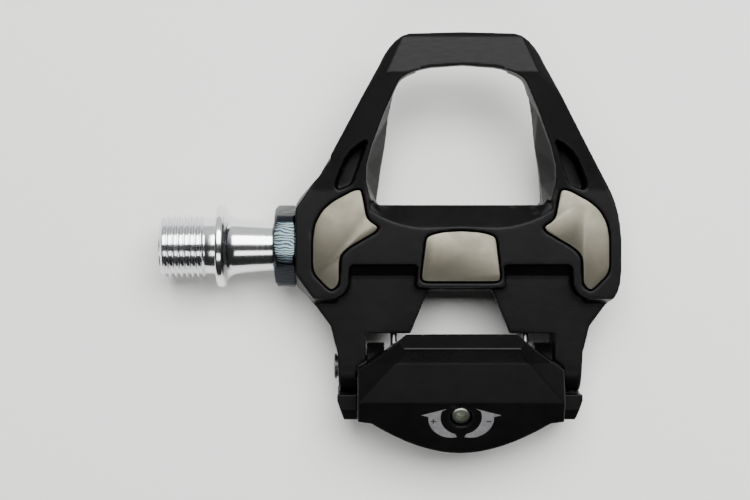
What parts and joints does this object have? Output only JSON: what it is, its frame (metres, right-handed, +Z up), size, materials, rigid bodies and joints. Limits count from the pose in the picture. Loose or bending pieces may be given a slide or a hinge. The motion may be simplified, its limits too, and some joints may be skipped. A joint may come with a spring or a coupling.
{
  "type": "clipless pedal",
  "caption": "Road clipless pedal: composite platform with a hooked front loop and a sprung rear claw, turning on a threaded spindle.",
  "frame": {"origin": "on the face of the centre contact plate, straight above the spindle's axis and on the platform's centre plane", "axes": "+Z up, out of the contact plates; +Y towards the toe of the shoe; +X away from the crank, along the spindle"},
  "size_m": [0.1035, 0.0938, 0.0248],
  "materials": {
    "composite": "satin black fibre-filled composite",
    "stainless": "bead-blasted stainless steel",
    "chrome": "polished",
    "black_steel": "black oxide, turned",
    "zinc_steel": "zinc plated",
    "bearing_steel": "ground and polished",
    "spring_steel": "dark drawn wire",
    "rubber": "matt",
    "alloy": "machined"
  },
  "bodies": {
    "spindle": {"axle": "chrome", "inner_race": "bearing_steel", "cone": "bearing_steel", "cone_lock_nut": "bearing_steel"},
    "platform": {"pedal_body": "composite", "lock_bolt": "black_steel", "axle_seal": "rubber", "needle_bearing_shell": "bearing_steel", "bearing_tube": "alloy", "ball_cup": "bearing_steel", "contact_plate_left": "stainless", "contact_plate_right": "stainless", "contact_plate_centre": "stainless", "plate_screw_left": "zinc_steel", "plate_screw_right": "zinc_steel", "claw_pin": "black_steel", "spring_left": "spring_steel", "spring_right": "spring_steel"},
    "inner_ball_row": {"ball_inner_01": "bearing_steel", "ball_inner_02": "bearing_steel", "ball_inner_03": "bearing_steel", "ball_inner_04": "bearing_steel", "ball_inner_05": "bearing_steel", "ball_inner_06": "bearing_steel", "ball_inner_07": "bearing_steel", "ball_inner_08": "bearing_steel", "ball_inner_09": "bearing_steel", "ball_inner_10": "bearing_steel", "ball_inner_11": "bearing_steel", "ball_inner_12": "bearing_steel"},
    "outer_ball_row": {"ball_outer_01": "bearing_steel", "ball_outer_02": "bearing_steel", "ball_outer_03": "bearing_steel", "ball_outer_04": "bearing_steel", "ball_outer_05": "bearing_steel", "ball_outer_06": "bearing_steel", "ball_outer_07": "bearing_steel", "ball_outer_08": "bearing_steel", "ball_outer_09": "bearing_steel", "ball_outer_10": "bearing_steel", "ball_outer_11": "bearing_steel", "ball_outer_12": "bearing_steel"},
    "needle_rollers": {"needle_roller_cage": "bearing_steel"},
    "claw": {"rear_claw": "composite"},
    "tension_bolt": {"tension_bolt": "zinc_steel"},
    "nut_plate": {"tension_nut_plate": "zinc_steel"}
  },
  "joints": [
    {"name": "pedal_spin", "type": "hinge", "parent": "spindle", "child": "platform", "pos_m": [0, 0, -0.01], "axis": [1, 0, 0], "continuous": true},
    {"name": "inner_ball_spin", "type": "hinge", "parent": "spindle", "child": "inner_ball_row", "pos_m": [0, 0, -0.01], "axis": [1, 0, 0], "continuous": true},
    {"name": "outer_ball_spin", "type": "hinge", "parent": "spindle", "child": "outer_ball_row", "pos_m": [0, 0, -0.01], "axis": [1, 0, 0], "continuous": true},
    {"name": "needle_spin", "type": "hinge", "parent": "spindle", "child": "needle_rollers", "pos_m": [0, 0, -0.01], "axis": [1, 0, 0], "continuous": true},
    {"name": "claw_open", "type": "hinge", "parent": "platform", "child": "claw", "pos_m": [0, -0.0274, -0.01], "axis": [1, 0, 0], "range_deg": [0, 12], "stiffness_Nm_per_rad": 1.5, "springref_deg": -20.05},
    {"name": "tension_turn", "type": "hinge", "parent": "claw", "child": "tension_bolt", "pos_m": [0, -0.03785, -0.00034], "axis": [0, 0.4772, -0.8788], "range_deg": [0, 1080]},
    {"name": "nut_travel", "type": "slide", "parent": "claw", "child": "nut_plate", "axis": [0, -0.4772, 0.8788], "range_m": [0, 0.0021]}
  ],
  "couplings": [
    {"joint": "inner_ball_spin", "follows": "pedal_spin", "ratio": 0.588},
    {"joint": "outer_ball_spin", "follows": "pedal_spin", "ratio": 0.588},
    {"joint": "needle_spin", "follows": "pedal_spin", "ratio": 0.561},
    {"joint": "tension_turn", "follows": "nut_travel", "rad_per_m": 8976}
  ]
}
